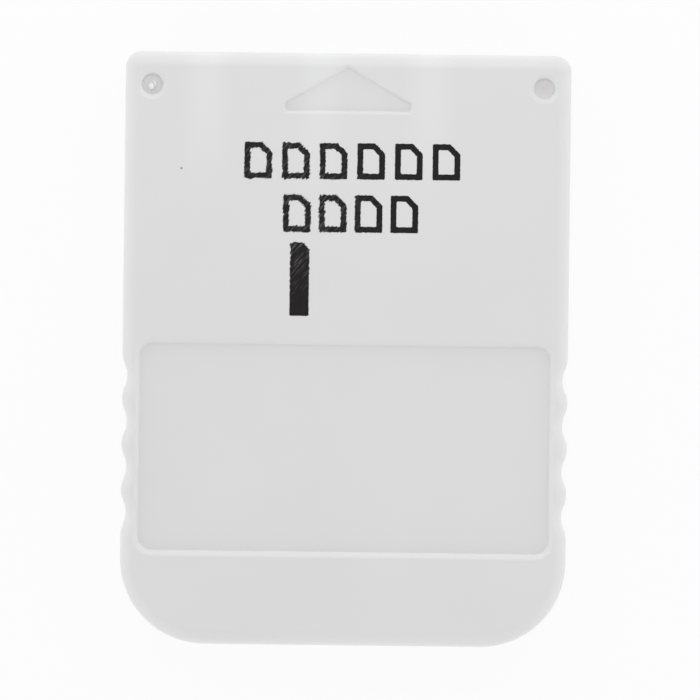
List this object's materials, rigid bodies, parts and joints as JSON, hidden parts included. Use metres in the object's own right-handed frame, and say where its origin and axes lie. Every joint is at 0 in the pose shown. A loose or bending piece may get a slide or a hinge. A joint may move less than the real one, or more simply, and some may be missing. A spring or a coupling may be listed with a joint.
{
  "type": "console memory card",
  "caption": "Flat plastic memory card for a game console, with a windowed connector end, scalloped finger grips, a label recess and an insertion arrow.",
  "frame": {"origin": "middle of the back face, on the surface that the card lies on", "axes": "+Y towards the connector end, +Z out of the front face, +X to the right when the front is seen with the connector end up"},
  "size_m": [0.042, 0.0558, 0.0078],
  "materials": {
    "shell_plastic": "white moulded plastic, satin",
    "board_laminate": "green solder resist over glass-fibre laminate",
    "contact_gold": "bright gold plate",
    "chip_moulding": "black moulded epoxy, matte",
    "tinned_metal": "tinned, satin",
    "resonator_ceramic": "brown ceramic, matte",
    "reservoir_moulding": "yellow moulded case, satin",
    "capacitor_ceramic": "tan ceramic, matte",
    "resistor_ceramic": "black glazed ceramic",
    "print_ink": "near-black printed ink, matte"
  },
  "bodies": {
    "root": {"front_cover": "shell_plastic", "back_cover": "shell_plastic", "circuit_board": "board_laminate", "contact_finger_1": "contact_gold", "contact_finger_2": "contact_gold", "contact_finger_3": "contact_gold", "contact_finger_4": "contact_gold", "contact_finger_5": "contact_gold", "contact_finger_6": "contact_gold", "contact_finger_7": "contact_gold", "contact_finger_8": "contact_gold", "controller_chip_body": "chip_moulding", "controller_chip_leads": "tinned_metal", "memory_chip_body": "chip_moulding", "memory_chip_leads": "tinned_metal", "resonator_body": "resonator_ceramic", "resonator_terminals": "tinned_metal", "reservoir_capacitor_body": "reservoir_moulding", "reservoir_capacitor_terminals": "tinned_metal", "chip_capacitor_1_body": "capacitor_ceramic", "chip_capacitor_1_terminals": "tinned_metal", "chip_capacitor_2_body": "capacitor_ceramic", "chip_capacitor_2_terminals": "tinned_metal", "chip_capacitor_3_body": "capacitor_ceramic", "chip_capacitor_3_terminals": "tinned_metal", "chip_capacitor_4_body": "capacitor_ceramic", "chip_capacitor_4_terminals": "tinned_metal", "chip_resistor_1_body": "resistor_ceramic", "chip_resistor_1_terminals": "tinned_metal", "chip_resistor_2_body": "resistor_ceramic", "chip_resistor_2_terminals": "tinned_metal", "chip_resistor_3_body": "resistor_ceramic", "chip_resistor_3_terminals": "tinned_metal", "chip_resistor_4_body": "resistor_ceramic", "chip_resistor_4_terminals": "tinned_metal"}
  },
  "joints": []
}
